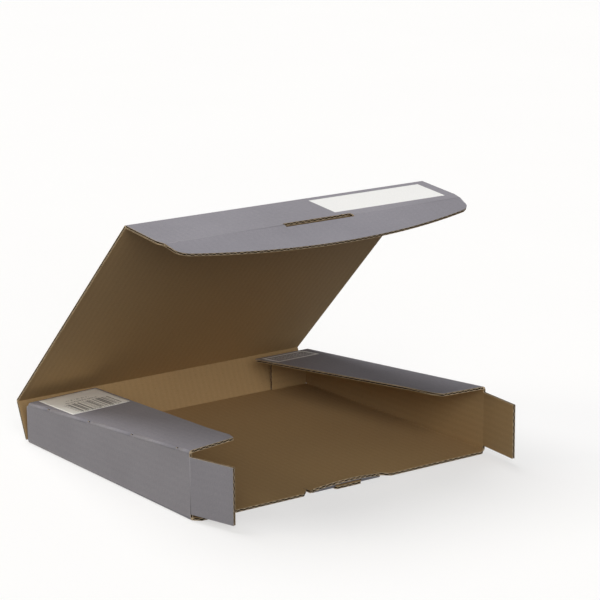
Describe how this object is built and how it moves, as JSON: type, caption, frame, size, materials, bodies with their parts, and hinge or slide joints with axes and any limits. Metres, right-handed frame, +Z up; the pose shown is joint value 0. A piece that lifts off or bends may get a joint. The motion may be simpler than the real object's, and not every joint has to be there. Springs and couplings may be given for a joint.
{
  "type": "archival storage box",
  "caption": "Open corrugated-board archival box with wedge-shaped sides, hinged lid, spine, lip-locked tuck flap and folding side flaps.",
  "frame": {"origin": "centre of the box's footprint on the underside of the bottom panel", "axes": "+X to the right along the front, +Y to the back, +Z up"},
  "size_m": [0.33, 0.349, 0.2429],
  "materials": {
    "grey_board": "matt printed grey liner outside, kraft inside",
    "kraft_board": "uncoated kraft liner inside, grey outside",
    "label_paper": "matt white label paper with grey print"
  },
  "bodies": {
    "bottom": {"bottom_panel": "kraft_board"},
    "back_wall": {"back_wall": "grey_board"},
    "lid": {"lid_panel": "kraft_board"},
    "spine": {"spine_panel": "grey_board"},
    "tuck": {"tuck_flap": "grey_board"},
    "left_wall": {"left_side_wall": "grey_board"},
    "right_wall": {"right_side_wall": "grey_board"},
    "left_top_flap": {"left_top_flap": "grey_board", "barcode_sticker": "label_paper"},
    "right_top_flap": {"right_top_flap": "grey_board"},
    "left_front_flap": {"left_front_flap": "grey_board"},
    "right_front_flap": {"right_front_flap": "grey_board"},
    "left_rear_flap": {"left_rear_flap": "grey_board"},
    "right_rear_flap": {"right_rear_flap": "grey_board"},
    "tongue": {"locking_tongue": "kraft_board"},
    "lip": {"locking_lip": "grey_board"}
  },
  "joints": [
    {"name": "back_wall_crease", "type": "hinge", "parent": "bottom", "child": "back_wall", "pos_m": [0, 0.1433, 0.0027], "axis": [1, 0, 0], "range_deg": [-66.4, 23.6]},
    {"name": "lid_crease", "type": "hinge", "parent": "back_wall", "child": "lid", "pos_m": [0, 0.15828, 0.03699], "axis": [1, 0, 0], "range_deg": [-68.6, 16.66]},
    {"name": "spine_crease", "type": "hinge", "parent": "lid", "child": "spine", "pos_m": [0, -0.04499, 0.24027], "axis": [1, 0, 0], "range_deg": [-51, 43.72]},
    {"name": "tuck_crease", "type": "hinge", "parent": "spine", "child": "tuck", "pos_m": [0, -0.10284, 0.23419], "axis": [1, 0, 0], "range_deg": [-12, 78]},
    {"name": "left_wall_crease", "type": "hinge", "parent": "bottom", "child": "left_wall", "pos_m": [-0.1623, 0, 0.0027], "axis": [0, 1, 0], "range_deg": [-8.5, 0]},
    {"name": "right_wall_crease", "type": "hinge", "parent": "bottom", "child": "right_wall", "pos_m": [0.1623, 0, 0.0027], "axis": [0, -1, 0], "range_deg": [-8.5, 0]},
    {"name": "left_top_flap_crease", "type": "hinge", "parent": "left_wall", "child": "left_top_flap", "pos_m": [-0.1623, -0.1403, 0.06033], "axis": [0, 0.9966, -0.0823], "range_deg": [-9, 3]},
    {"name": "right_top_flap_crease", "type": "hinge", "parent": "right_wall", "child": "right_top_flap", "pos_m": [0.1623, -0.1403, 0.06033], "axis": [0, -0.9966, 0.0823], "range_deg": [-11, 1]},
    {"name": "left_front_flap_crease", "type": "hinge", "parent": "left_wall", "child": "left_front_flap", "pos_m": [-0.1623, -0.1403, 0.03], "axis": [0, 0, 1], "range_deg": [-15, 75]},
    {"name": "right_front_flap_crease", "type": "hinge", "parent": "right_wall", "child": "right_front_flap", "pos_m": [0.1623, -0.1403, 0.03], "axis": [0, 0, -1], "range_deg": [-6, 84]},
    {"name": "left_rear_flap_crease", "type": "hinge", "parent": "left_wall", "child": "left_rear_flap", "pos_m": [-0.1623, 0.1404, 0.02], "axis": [0, 0, 1], "range_deg": [-85, 0]},
    {"name": "right_rear_flap_crease", "type": "hinge", "parent": "right_wall", "child": "right_rear_flap", "pos_m": [0.1623, 0.1404, 0.02], "axis": [0, 0, -1], "range_deg": [-85, 0]},
    {"name": "tongue_crease", "type": "hinge", "parent": "bottom", "child": "tongue", "pos_m": [0, -0.1315, 0.0027], "axis": [1, 0, 0], "range_deg": [-20, 0]},
    {"name": "lip_crease", "type": "hinge", "parent": "tongue", "child": "lip", "pos_m": [0, -0.142, 0.0027], "axis": [-1, 0, 0], "range_deg": [-40, 62]}
  ]
}
